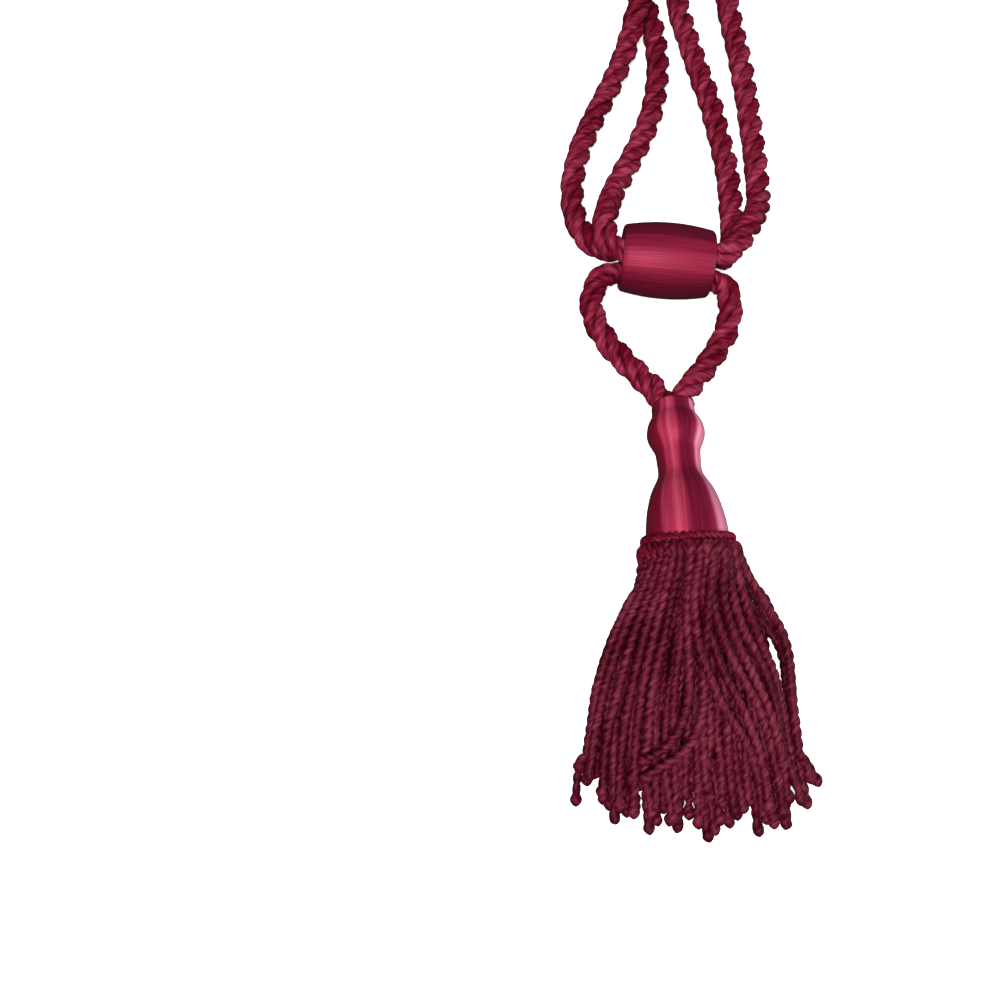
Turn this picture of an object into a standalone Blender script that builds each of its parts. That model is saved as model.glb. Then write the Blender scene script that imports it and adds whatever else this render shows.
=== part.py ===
"""Curtain tieback tassel, lying on a flat surface.

One thick twisted cord starts and ends in the tassel's head. It runs three times through a barrel
slide and makes an arm loop at each side. Below the head, a bullion fringe hangs from its heading.

X runs across the tieback, +Y towards the arm loops, -Y towards the fringe, and +Z up from the
surface. The origin is the middle of the flat spot under the slide. Route and table values are in
millimetres, and MM turns them to metres.
"""

import math

import bmesh
import bpy
from mathutils import Matrix, Vector

MM = 0.001

# Cord
CORD_RADIUS = 4.8
SQUEEZED_RADIUS = 4.1  # inside the slide
END_RADIUS = 2.9  # pressed into the head
CORD_Z = 4.9  # centre height where the cord lies on the surface

# Slide: a crowned barrel with a bore for three cords
SLIDE_LENGTH = 34.0
SLIDE_RADIUS = 14.1
SLIDE_END_RADIUS = 12.2
SLIDE_BORE = 10.25
SLIDE_LIP = 1.0
SLIDE_AXIS_Z = 13.8
SLIDE_TURN = math.radians(-5.2)
BUNDLE_RADIUS = 5.4  # from the bore's axis to each cord's centre
BUNDLE_TWIST = 120.0  # degrees that the three cords turn over BUNDLE_LENGTH
BUNDLE_LENGTH = 40.0

# Head: its axis leans down towards the cords and a little to one side
HEAD_TOP = Vector((0.0, -57.2, 9.5))
HEAD_LEAN = math.radians(7.2)
HEAD_TURN = math.radians(1.2)
HEAD_LENGTH = 63.0
SOCKET_RADIUS = 7.0
SOCKET_DEPTH = 8.5

# Heading of the fringe, a band round the head's base
HEADING_START = 52.6  # distances down the head's axis
HEADING_END = 63.6
HEADING_RADIUS = 17.9
HEADING_INNER = 14.4

# Fringe
FRINGE_START = 58.3
FRINGE_SIDES = 56
TIP_RADIUS = 3.6

# Route of the cord outside the slide: x, y, z of its centre
LEFT_LEG = [
    (-3.1, -63.0, 10.0), (-3.2, -57.2, 9.5), (-5.6, -50.6, 7.5), (-10.6, -44.0, 5.5),
    (-16.2, -37.1, CORD_Z), (-21.4, -30.5, CORD_Z), (-25.8, -23.1, 5.6), (-28.0, -16.0, 7.3),
    (-26.9, -8.9, 9.3), (-22.6, -4.1, 10.5),
]
RIGHT_ARM = [
    (21.0, 2.8, 10.5), (26.0, 7.6, 8.4), (28.2, 16.0, 6.0), (28.8, 29.4, CORD_Z),
    (28.5, 46.5, CORD_Z), (26.5, 63.4, CORD_Z), (24.0, 80.3, CORD_Z), (20.1, 96.9, CORD_Z),
    (16.6, 113.7, CORD_Z), (13.6, 130.0, CORD_Z), (14.2, 140.6, CORD_Z), (17.6, 148.6, CORD_Z),
    (24.3, 152.2, CORD_Z), (31.0, 148.8, CORD_Z), (34.4, 140.8, CORD_Z), (35.0, 130.0, CORD_Z),
    (36.3, 117.0, CORD_Z), (37.8, 102.4, CORD_Z), (39.0, 85.4, CORD_Z), (39.7, 68.3, CORD_Z),
    (40.2, 51.2, CORD_Z), (40.0, 37.6, 5.6), (37.8, 26.4, 10.4), (33.2, 16.0, 16.2),
    (28.6, 7.6, 19.8), (24.2, 1.6, 20.4), (19.8, -0.9, 19.8),
]
LEFT_ARM = [
    (-20.8, 7.2, 10.4), (-26.6, 11.2, 8.0), (-31.0, 18.6, 6.0), (-33.6, 28.6, CORD_Z),
    (-33.8, 39.4, CORD_Z), (-31.0, 54.6, CORD_Z), (-25.6, 69.4, CORD_Z), (-19.4, 83.0, CORD_Z),
    (-13.8, 95.6, 5.6), (-9.2, 107.4, 8.8), (-5.8, 119.2, 13.6), (-1.6, 131.0, 16.0),
    (2.6, 141.0, 14.2), (4.2, 150.2, 10.8), (1.8, 158.4, 7.6), (-4.4, 162.4, 5.3),
    (-10.6, 159.4, CORD_Z), (-11.2, 151.0, CORD_Z), (-6.4, 142.4, CORD_Z), (-1.4, 133.6, CORD_Z),
    (1.2, 124.4, CORD_Z), (2.9, 112.8, CORD_Z), (3.1, 95.7, CORD_Z), (0.5, 78.9, CORD_Z),
    (-5.0, 62.7, CORD_Z), (-10.4, 51.2, CORD_Z), (-15.6, 40.4, 6.0), (-18.9, 31.8, 9.4),
    (-20.9, 24.2, 14.2), (-22.8, 16.0, 19.0), (-23.6, 8.6, 20.8), (-21.2, 2.8, 20.3),
]
RIGHT_LEG = [
    (20.9, -8.1, 11.0), (24.1, -12.9, 9.2), (24.2, -19.6, 6.9), (22.1, -27.0, 5.2),
    (18.0, -34.2, CORD_Z), (13.0, -41.4, 5.0), (8.0, -48.0, 6.5), (4.1, -54.6, 8.8),
    (3.1, -58.6, 9.6), (3.1, -63.0, 10.0),
]
# Where each pass stands in the bundle at the slide's left end, in degrees round the bore
LOWER_PASS, UPPER_PASS, TOP_PASS = 210.0, 330.0, 90.0

# Outside of the head: distance down its axis, radius
HEAD_PROFILE = [
    (0.0, 7.6), (1.2, 7.7), (4.6, 7.8), (7.4, 9.0), (9.6, 9.9), (12.2, 10.3), (14.6, 9.9),
    (17.0, 8.9), (19.4, 8.0), (23.4, 7.7), (27.4, 7.6), (29.8, 8.0), (32.4, 9.3), (35.4, 10.8),
    (39.4, 12.1), (43.4, 13.0), (47.4, 13.7), (51.0, 14.0), (63.0, 14.0),
]

# Body of the fringe. Each section: y, lean of its plane, left x, right x, top z, fullness
FRINGE_SECTIONS = [
    (-120.9, 0.126, -15.6, 19.6, 34.6, 2.0),
    (-124.4, 0.08, -17.0, 22.8, 32.4, 2.0),
    (-130.0, 0.00, -20.2, 28.2, 27.0, 2.2),
    (-138.0, 0.00, -24.6, 33.4, 22.0, 2.3),
    (-148.0, 0.00, -28.6, 36.0, 19.5, 2.4),
    (-160.0, 0.00, -31.6, 36.4, 17.5, 2.4),
    (-170.0, 0.00, -33.6, 36.6, 15.5, 2.5),
    (-178.0, 0.00, -34.8, 36.0, 13.0, 2.5),
]
GROOVES = 14  # strand bundles round the body, with a groove between each two
GROOVE_DEPTH = 0.9

# Teeth of the comb. Each tip: x, y, z, and how far its bundle swings sideways on its way there
LOWER_TIPS = [
    (-37.0, -184.0, 3.0, -1.5), (-34.6, -194.5, 3.0, 1.5), (-26.4, -197.0, 3.0, -1.0),
    (-19.0, -201.0, 3.2, 1.0), (-11.4, -203.6, 3.0, 0.0), (-3.4, -202.0, 3.2, 1.0),
    (4.4, -205.6, 3.0, -1.0), (12.4, -202.6, 3.0, 0.5), (20.4, -203.8, 3.2, -1.0),
    (28.6, -198.4, 3.0, 1.5), (35.4, -194.6, 3.0, -1.5), (40.4, -187.6, 3.0, 1.5),
]
UPPER_TIPS = [
    (-28.0, -188.0, 8.6, 2.0), (-19.0, -193.0, 9.4, -2.0), (-9.6, -196.0, 9.8, 1.5),
    (-0.6, -198.0, 9.8, -2.0), (8.4, -197.0, 9.8, 2.0), (17.4, -195.5, 9.6, -1.5),
    (26.6, -190.0, 8.8, 2.0),
]

CORD_COLOUR = (0.115, 0.006, 0.020)
FLOSS_COLOUR = (0.270, 0.016, 0.052)
FRINGE_COLOUR = (0.090, 0.006, 0.018)


def empty_scene():
    for obj in list(bpy.data.objects):
        bpy.data.objects.remove(obj)


def new_collection(name, parent):
    made = bpy.data.collections.new(name)
    parent.children.link(made)
    return made


def cloth_material(name, colour, roughness):
    made = bpy.data.materials.new(name)
    made.use_nodes = True
    shader = made.node_tree.nodes["Principled BSDF"]
    shader.inputs["Base Color"].default_value = (*colour, 1.0)
    shader.inputs["Roughness"].default_value = roughness
    shader.inputs["Metallic"].default_value = 0.0
    return made


def smooth_curve(points, step=0.5):
    """Points every step or so along a centripetal Catmull-Rom curve through the given ones."""
    points = [Vector(p) for p in points]
    padded = [2 * points[0] - points[1], *points, 2 * points[-1] - points[-2]]
    curve = []
    for before, start, end, after in zip(padded, padded[1:], padded[2:], padded[3:]):
        t1 = math.sqrt((start - before).length)
        t2 = t1 + math.sqrt((end - start).length)
        t3 = t2 + math.sqrt((after - end).length)
        count = max(2, int((end - start).length / step))
        for i in range(count):
            t = t1 + (t2 - t1) * i / count
            a1 = before.lerp(start, t / t1)
            a2 = start.lerp(end, (t - t1) / (t2 - t1))
            a3 = end.lerp(after, (t - t2) / (t3 - t2))
            b1 = a1.lerp(a2, t / t2)
            b2 = a2.lerp(a3, (t - t1) / (t3 - t1))
            curve.append(b1.lerp(b2, (t - t1) / (t2 - t1)))
    return [*curve, points[-1]]


def thinned(curve, radii, most_turn=29.0, most_gap=19.0, most_growth=0.4):
    """Numbers of the points that a tube needs: one after each turn, gap or change of radius."""
    kept = [0]
    gap = 0.0
    for i in range(1, len(curve) - 1):
        gap += (curve[i] - curve[i - 1]).length
        here = curve[i + 1] - curve[i - 1]
        last = curve[kept[-1] + 1] - curve[max(kept[-1] - 1, 0)]
        turn = math.degrees(here.angle(last))
        growth = abs(radii[i] - radii[kept[-1]])
        squeezed = radii[i] < SQUEEZED_RADIUS + 0.1
        if turn > most_turn or gap >= most_gap * (0.6 if squeezed else 1.0) or growth > most_growth:
            kept.append(i)
            gap = 0.0
    return [*kept, len(curve) - 1]


def slide_point(along, across, up):
    """A point given along the slide's axis, across it on the surface, and above it."""
    turn = Matrix.Rotation(SLIDE_TURN, 3, "Z")
    return turn @ Vector((along, across, up)) + Vector((0, 0, SLIDE_AXIS_Z))


def pass_through_slide(start_angle):
    """One cord's way through the bore, left to right, twisting with the other two."""
    found = []
    for along in (-16.0, -8.0, 0.0, 8.0, 16.0):
        turned = BUNDLE_TWIST * (along + BUNDLE_LENGTH / 2) / BUNDLE_LENGTH
        angle = math.radians(start_angle + turned)
        across = BUNDLE_RADIUS * math.cos(angle)
        found.append(slide_point(along, across, BUNDLE_RADIUS * math.sin(angle)))
    return found


def eased(value):
    value = min(max(value, 0.0), 1.0)
    return value * value * (3 - 2 * value)


def cord_radius(point, to_end):
    """The cord's radius at a point that lies to_end from its nearer end."""
    placed = point - Vector((0, 0, SLIDE_AXIS_Z))
    placed = Matrix.Rotation(-SLIDE_TURN, 3, "Z") @ placed
    radius = CORD_RADIUS
    if abs(placed.x) < 23.0 and math.hypot(placed.y, placed.z) < 10.5:
        grown = eased((abs(placed.x) - SLIDE_LENGTH / 2) / 6.0)
        radius = SQUEEZED_RADIUS + (CORD_RADIUS - SQUEEZED_RADIUS) * grown
    ended = END_RADIUS + (CORD_RADIUS - END_RADIUS) * eased((to_end - 7.0) / 7.0)
    return min(radius, ended)


def tube(name, points, radii, sides, collection):
    """A tube through the points as a POLY curve, in metres, with a radius at each point."""
    data = bpy.data.curves.new(name, "CURVE")
    data.dimensions = "3D"
    data.bevel_depth = MM
    data.bevel_resolution = sides // 2 - 2
    data.use_fill_caps = True
    spline = data.splines.new("POLY")
    spline.points.add(len(points) - 1)
    for target, point, radius in zip(spline.points, points, radii):
        target.co = (*(point * MM), 1.0)
        target.radius = radius
    made = bpy.data.objects.new(name, data)
    collection.objects.link(made)
    return made


def as_mesh(obj, collection):
    """A mesh object in the place of a curve object, its caps joined to its sides."""
    graph = bpy.context.evaluated_depsgraph_get()
    mesh = bpy.data.meshes.new_from_object(obj.evaluated_get(graph))
    work = bmesh.new()
    work.from_mesh(mesh)
    bmesh.ops.remove_doubles(work, verts=work.verts, dist=1e-6)
    work.to_mesh(mesh)
    work.free()
    made = bpy.data.objects.new(obj.name + "_mesh", mesh)
    made.matrix_world = obj.matrix_world
    collection.objects.link(made)
    bpy.data.objects.remove(obj)
    return made


def turned(name, profile, steps, collection, closed=False):
    """A turned solid about local Z from (radius, height) points that run down its outer side."""
    mesh = bpy.data.meshes.new(name)
    edges = [(i, i + 1) for i in range(len(profile) - 1)]
    if closed:
        edges.append((len(profile) - 1, 0))
    mesh.from_pydata([(r * MM, 0.0, z * MM) for r, z in profile], edges, [])
    made = bpy.data.objects.new(name, mesh)
    collection.objects.link(made)
    screw = made.modifiers.new("Turn", "SCREW")
    screw.steps = steps
    screw.render_steps = steps
    screw.use_merge_vertices = True
    screw.merge_threshold = 0.00001
    screw.use_smooth_shade = True
    return made


def cut_flat(obj, cutter):
    """Takes off what would reach below the surface, so that the piece rests on a flat."""
    cut = obj.modifiers.new("Flat", "BOOLEAN")
    cut.operation = "DIFFERENCE"
    cut.object = cutter


def surface_cutter(collection):
    """A slab whose top face is the surface that the tieback lies on."""
    depth = 20.0
    bpy.ops.mesh.primitive_cube_add(size=1.0, location=(0.0, -80 * MM, -depth / 2 * MM))
    made = bpy.context.object
    made.name = "surface_cutter"
    made.data.transform(Matrix.Diagonal((160 * MM, 320 * MM, depth * MM, 1.0)))
    for holder in list(made.users_collection):
        holder.objects.unlink(made)
    collection.objects.link(made)
    hide(made)
    return made


def hide(obj):
    obj.hide_render = True
    obj.display_type = "WIRE"


def make_cord(collection):
    passes = [pass_through_slide(angle) for angle in (LOWER_PASS, UPPER_PASS, TOP_PASS)]
    route = [*LEFT_LEG, *passes[0], *RIGHT_ARM, *reversed(passes[1]), *LEFT_ARM]
    route += [*passes[2], *RIGHT_LEG]
    curve = smooth_curve(route)
    walked = [0.0]
    for a, b in zip(curve, curve[1:]):
        walked.append(walked[-1] + (b - a).length)
    radii = [cord_radius(p, min(w, walked[-1] - w)) for p, w in zip(curve, walked)]
    kept = thinned(curve, radii)
    made = tube("cable_cord", [curve[i] for i in kept], [radii[i] for i in kept], 10, collection)
    made.data.materials.append(cloth_material("cord_yarn", CORD_COLOUR, 0.6))


def make_slide(collection, cutter):
    half = SLIDE_LENGTH / 2
    profile = []
    for i in range(4):
        angle = math.pi / 2 * (1 - i / 4)
        reach = SLIDE_LIP * math.sin(angle)
        profile.append((SLIDE_END_RADIUS - SLIDE_LIP + SLIDE_LIP * math.cos(angle), half - SLIDE_LIP + reach))
    for i in range(11):
        height = (half - SLIDE_LIP) * (1 - i / 5)
        fall = (SLIDE_RADIUS - SLIDE_END_RADIUS) * (height / (half - SLIDE_LIP)) ** 2
        profile.append((SLIDE_RADIUS - fall, height))
    profile += [(r, -z) for r, z in reversed(profile[:4])]
    profile += [(SLIDE_BORE, -half), (SLIDE_BORE, 0.0), (SLIDE_BORE, half)]
    made = turned("barrel_slide", profile, 44, collection, closed=True)
    made.location = (0.0, 0.0, SLIDE_AXIS_Z * MM)
    made.rotation_euler = (0.0, math.radians(90), SLIDE_TURN)
    cut_flat(made, cutter)
    made.data.materials.append(cloth_material("slide_floss", FLOSS_COLOUR, 0.35))


def tassel_axis(collection):
    """An empty at the head's top whose Z axis points up the head, towards the cords."""
    made = bpy.data.objects.new("tassel_axis", None)
    collection.objects.link(made)
    flat = math.cos(HEAD_LEAN)
    up = Vector((-math.sin(HEAD_TURN) * flat, math.cos(HEAD_TURN) * flat, -math.sin(HEAD_LEAN)))
    made.rotation_mode = "QUATERNION"
    made.rotation_quaternion = up.to_track_quat("Z", "X")
    made.location = HEAD_TOP * MM
    return made


def make_head(collection, axis):
    profile = [(0.0, -SOCKET_DEPTH), (SOCKET_RADIUS, -SOCKET_DEPTH), (SOCKET_RADIUS, 0.0)]
    profile += [(radius, -down) for down, radius in HEAD_PROFILE]
    profile.append((0.0, -HEAD_LENGTH))
    made = turned("tassel_head", profile, 40, collection)
    made.parent = axis
    made.data.materials.append(cloth_material("head_floss", FLOSS_COLOUR, 0.35))


def make_heading(collection, axis, cutter):
    middle = (HEADING_START + HEADING_END) / 2
    half = (HEADING_END - HEADING_START) / 2
    profile = []
    for i in range(9):
        angle = math.pi * i / 8
        bulge = (HEADING_RADIUS - HEADING_INNER) * math.sin(angle) ** 0.6
        profile.append((HEADING_INNER + max(bulge, 0.4), half * math.cos(angle) - middle))
    profile += [(HEADING_INNER, -half - middle), (HEADING_INNER, half - middle)]
    made = turned("fringe_heading", profile, 40, collection, closed=True)
    made.parent = axis
    cut_flat(made, cutter)
    made.data.materials.append(cloth_material("heading_yarn", FRINGE_COLOUR, 0.6))


def fringe_section(y, lean, left, right, top, fullness):
    """One ring of the fringe's body: a flattened oval with a groove between the bundles."""
    bottom = -0.6
    middle = Vector(((left + right) / 2, y, (top + bottom) / 2))
    wide = (right - left) / 2
    high = (top - bottom) / 2
    sideways = math.tan(HEAD_TURN) / math.tan(HEAD_LEAN)
    ring = []
    for i in range(FRINGE_SIDES):
        angle = math.tau * i / FRINGE_SIDES
        cosine, sine = math.cos(angle), math.sin(angle)
        groove = GROOVE_DEPTH * (1 - abs(math.cos(angle * GROOVES / 2)))
        x = (wide - groove) * math.copysign(abs(cosine) ** (2 / fullness), cosine)
        z = (high - groove) * math.copysign(abs(sine) ** (2 / fullness), sine)
        ring.append(middle + Vector((x, lean * (z + sideways * x), z)))
    return ring


def fringe_body(name, collection):
    """The loft through the sections, closed at both ends."""
    rings = [fringe_section(*row) for row in FRINGE_SECTIONS]
    count = FRINGE_SIDES
    work = bmesh.new()
    loops = [[work.verts.new(p * MM) for p in ring] for ring in rings]
    for upper, lower in zip(loops, loops[1:]):
        for i in range(count):
            j = (i + 1) % count
            work.faces.new((upper[i], upper[j], lower[j], lower[i]))
    work.faces.new(loops[0])
    work.faces.new(loops[-1])
    bmesh.ops.recalc_face_normals(work, faces=work.faces)
    mesh = bpy.data.meshes.new(name)
    work.to_mesh(mesh)
    work.free()
    made = bpy.data.objects.new(name, mesh)
    collection.objects.link(made)
    return made


def tooth(number, tip, start_z, collection):
    """A bundle of strands from inside the fringe's body to its tip."""
    x, y, z, swing = tip
    start = Vector((x * 0.80 + 0.6, -160.0, start_z))
    end = Vector((x, y, z))
    points = []
    for i in range(7):
        t = i / 6
        point = start.lerp(end, t)
        point.x += swing * math.sin(math.pi * t)
        points.append(point)
    radii = [TIP_RADIUS * (0.72 if i == 6 else 1.0) for i in range(7)]
    made = tube(f"tooth_{number:02d}", points, radii, 8, collection)
    made = as_mesh(made, collection)
    hide(made)
    return made


def make_fringe(collection, tools, cutter):
    made = fringe_body("bullion_fringe", collection)
    teeth = new_collection("fringe_teeth", tools)
    tips = [(tip, 4.2) for tip in LOWER_TIPS] + [(tip, 10.0) for tip in UPPER_TIPS]
    for number, (tip, start_z) in enumerate(tips):
        tooth(number, tip, start_z, teeth)
    join = made.modifiers.new("Teeth", "BOOLEAN")
    join.operation = "UNION"
    join.operand_type = "COLLECTION"
    join.collection = teeth
    cut_flat(made, cutter)
    made.data.materials.append(cloth_material("fringe_yarn", FRINGE_COLOUR, 0.6))


def main():
    empty_scene()
    tools = new_collection("cutters", bpy.context.scene.collection)
    tieback = new_collection("tieback_tassel", bpy.context.scene.collection)
    cutter = surface_cutter(tools)
    axis = tassel_axis(tieback)
    make_cord(tieback)
    make_slide(tieback, cutter)
    make_head(tieback, axis)
    make_heading(tieback, axis, cutter)
    make_fringe(tieback, tools, cutter)


main()
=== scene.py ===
import math

import bpy
import numpy as np
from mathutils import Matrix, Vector


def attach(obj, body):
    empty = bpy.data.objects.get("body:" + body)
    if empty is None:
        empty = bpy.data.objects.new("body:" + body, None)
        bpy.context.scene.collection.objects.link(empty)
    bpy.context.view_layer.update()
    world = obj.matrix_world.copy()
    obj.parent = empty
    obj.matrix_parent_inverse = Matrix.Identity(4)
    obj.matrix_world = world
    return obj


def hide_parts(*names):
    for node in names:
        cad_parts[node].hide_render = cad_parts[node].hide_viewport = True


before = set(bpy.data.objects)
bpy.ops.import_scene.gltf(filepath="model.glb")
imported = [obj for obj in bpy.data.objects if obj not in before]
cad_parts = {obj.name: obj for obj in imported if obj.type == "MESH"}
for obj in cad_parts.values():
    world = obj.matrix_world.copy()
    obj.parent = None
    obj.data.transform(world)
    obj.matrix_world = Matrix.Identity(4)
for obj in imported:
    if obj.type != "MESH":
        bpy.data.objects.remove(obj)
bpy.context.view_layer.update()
scene = bpy.context.scene
MM = 0.001

# ---------------------------------------------------------------------------------------------
# Camera. It stands a little past the slide, above and to the left of the tieback, and looks
# down at the surface with a slight tilt, so that the head and the fringe lie below the slide.

camera_data = bpy.data.cameras.new("camera")
camera_data.lens = 35.03
camera_data.sensor_width = 36.0
camera = bpy.data.objects.new("camera", camera_data)
camera.location = (-0.0627, -0.2005, 0.335)
look = Vector((-0.0627, -0.0905, 0.0)) - camera.location
camera.rotation_euler = look.to_track_quat("-Z", "Y").to_euler()
scene.collection.objects.link(camera)
scene.camera = camera
scene.view_settings.view_transform = "Standard"

# ---------------------------------------------------------------------------------------------
# The cord: one length of thick cable cord, three plies laid Z, each ply spun the other way from
# a few viscose yarns. It is made before the rest, goes three times through the slide, and both
# of its ends are glued into the head. Sizes are in millimetres.

CORD_RADIUS = 4.8
SQUEEZED_RADIUS = 4.1  # three cords side by side in the slide's bore
END_RADIUS = 3.6  # bound tight inside the head
CORD_LAY = 27.0  # length of one whole turn of the three plies
YARN_LAY = 15.5  # and of one turn of the yarns in a ply
YARNS = 3
PLIES = 3
BORE_HEIGHT = 13.8  # the slide's axis over the surface
SLIDE_TURN = math.radians(-5.2)
BUNDLE_RADIUS = 5.4  # from the bore's axis to each cord's centre
BUNDLE_TWIST = 3.0  # degrees that the three cords turn for each millimetre of the bore

# Route, in metres: the centre of the cord outside the slide
LEFT_LEG = [
    (-0.0031, -0.0630, 0.0100), (-0.0032, -0.0572, 0.0095), (-0.0056, -0.0506, 0.0075),
    (-0.0106, -0.0440, 0.0055), (-0.0162, -0.0371, 0.0049), (-0.0214, -0.0305, 0.0049),
    (-0.0258, -0.0231, 0.0056), (-0.0280, -0.0160, 0.0073), (-0.0269, -0.0089, 0.0093),
    (-0.0226, -0.0041, 0.0105),
]
RIGHT_ARM = [
    (0.0210, 0.0028, 0.0105), (0.0260, 0.0076, 0.0084), (0.0282, 0.0160, 0.0060),
    (0.0288, 0.0294, 0.0049), (0.0285, 0.0465, 0.0049), (0.0265, 0.0634, 0.0049),
    (0.0240, 0.0803, 0.0049), (0.0201, 0.0969, 0.0049), (0.0166, 0.1137, 0.0049),
    (0.0136, 0.1300, 0.0049), (0.0142, 0.1406, 0.0049), (0.0176, 0.1486, 0.0049),
    (0.0243, 0.1522, 0.0049), (0.0310, 0.1488, 0.0049), (0.0344, 0.1408, 0.0049),
    (0.0350, 0.1300, 0.0049), (0.0363, 0.1170, 0.0049), (0.0378, 0.1024, 0.0049),
    (0.0390, 0.0854, 0.0049), (0.0397, 0.0683, 0.0049), (0.0402, 0.0512, 0.0049),
    (0.0400, 0.0376, 0.0056), (0.0378, 0.0264, 0.0104), (0.0332, 0.0160, 0.0162),
    (0.0286, 0.0076, 0.0198), (0.0242, 0.0016, 0.0204), (0.0198, -0.0009, 0.0198),
]
LEFT_ARM = [
    (-0.0208, 0.0072, 0.0104), (-0.0266, 0.0112, 0.0080), (-0.0310, 0.0186, 0.0060),
    (-0.0336, 0.0286, 0.0049), (-0.0338, 0.0394, 0.0049), (-0.0310, 0.0546, 0.0049),
    (-0.0256, 0.0694, 0.0049), (-0.0194, 0.0830, 0.0049), (-0.0138, 0.0956, 0.0056),
    (-0.0092, 0.1074, 0.0088), (-0.0058, 0.1192, 0.0136), (-0.0016, 0.1310, 0.0160),
    (0.0026, 0.1410, 0.0142), (0.0042, 0.1502, 0.0108), (0.0018, 0.1584, 0.0076),
    (-0.0044, 0.1624, 0.0053), (-0.0106, 0.1594, 0.0049), (-0.0112, 0.1510, 0.0049),
    (-0.0064, 0.1424, 0.0049), (-0.0014, 0.1336, 0.0049), (0.0012, 0.1244, 0.0049),
    (0.0029, 0.1128, 0.0049), (0.0031, 0.0957, 0.0049), (0.0005, 0.0789, 0.0049),
    (-0.0050, 0.0627, 0.0049), (-0.0104, 0.0512, 0.0049), (-0.0156, 0.0404, 0.0060),
    (-0.0189, 0.0318, 0.0094), (-0.0209, 0.0242, 0.0142), (-0.0228, 0.0160, 0.0190),
    (-0.0236, 0.0086, 0.0208), (-0.0212, 0.0028, 0.0203),
]
RIGHT_LEG = [
    (0.0209, -0.0081, 0.0110), (0.0241, -0.0129, 0.0092), (0.0242, -0.0196, 0.0069),
    (0.0221, -0.0270, 0.0052), (0.0180, -0.0342, 0.0049), (0.0130, -0.0414, 0.0050),
    (0.0080, -0.0480, 0.0065), (0.0041, -0.0546, 0.0088), (0.0031, -0.0586, 0.0096),
    (0.0031, -0.0630, 0.0100),
]


def pass_through_slide(start_angle):
    """One cord's way through the bore, in metres, where the three turn about each other."""
    found = []
    for along in (-16.0, -8.0, 0.0, 8.0, 16.0):
        angle = math.radians(start_angle + BUNDLE_TWIST * (along + 20.0))
        across = BUNDLE_RADIUS * math.cos(angle)
        x = along * math.cos(SLIDE_TURN) - across * math.sin(SLIDE_TURN)
        y = along * math.sin(SLIDE_TURN) + across * math.cos(SLIDE_TURN)
        z = BORE_HEIGHT + BUNDLE_RADIUS * math.sin(angle)
        found.append((x * MM, y * MM, z * MM))
    return found


def smooth_curve(points, step):
    """Evenly spaced points on a centripetal Catmull-Rom curve through the given ones."""
    points = np.asarray(points, float)
    padded = np.vstack([2 * points[0] - points[1], points, 2 * points[-1] - points[-2]])
    dense = []
    for before, start, end, after in zip(padded, padded[1:], padded[2:], padded[3:]):
        t1 = math.sqrt(np.linalg.norm(start - before))
        t2 = t1 + math.sqrt(np.linalg.norm(end - start))
        t3 = t2 + math.sqrt(np.linalg.norm(after - end))
        t = (t1 + (t2 - t1) * np.arange(12) / 12)[:, None]
        a1 = before + (start - before) * t / t1
        a2 = start + (end - start) * (t - t1) / (t2 - t1)
        a3 = end + (after - end) * (t - t2) / (t3 - t2)
        b1 = a1 + (a2 - a1) * t / t2
        b2 = a2 + (a3 - a2) * (t - t1) / (t3 - t1)
        dense.append(b1 + (b2 - b1) * (t - t1) / (t2 - t1))
    dense = np.vstack([*dense, points[-1:]])
    walked = np.r_[0.0, np.cumsum(np.linalg.norm(np.diff(dense, axis=0), axis=1))]
    wanted = np.linspace(0.0, walked[-1], max(2, round(walked[-1] / step)) + 1)
    return np.stack([np.interp(wanted, walked, dense[:, k]) for k in range(3)], axis=1), wanted


def frames_along(centres):
    """Tangent and two side directions at each point, carried along with no twist of their own."""
    tangents = np.gradient(centres, axis=0)
    tangents /= np.linalg.norm(tangents, axis=1)[:, None]
    side = np.cross(tangents[0], (0.0, 0.0, 1.0))
    if np.linalg.norm(side) < 0.1:
        side = np.cross(tangents[0], (1.0, 0.0, 0.0))
    sides = []
    for tangent in tangents:
        side = side - tangent * (side @ tangent)
        side = side / np.linalg.norm(side)
        sides.append(side)
    sides = np.array(sides)
    return tangents, sides, np.cross(tangents, sides)


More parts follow.
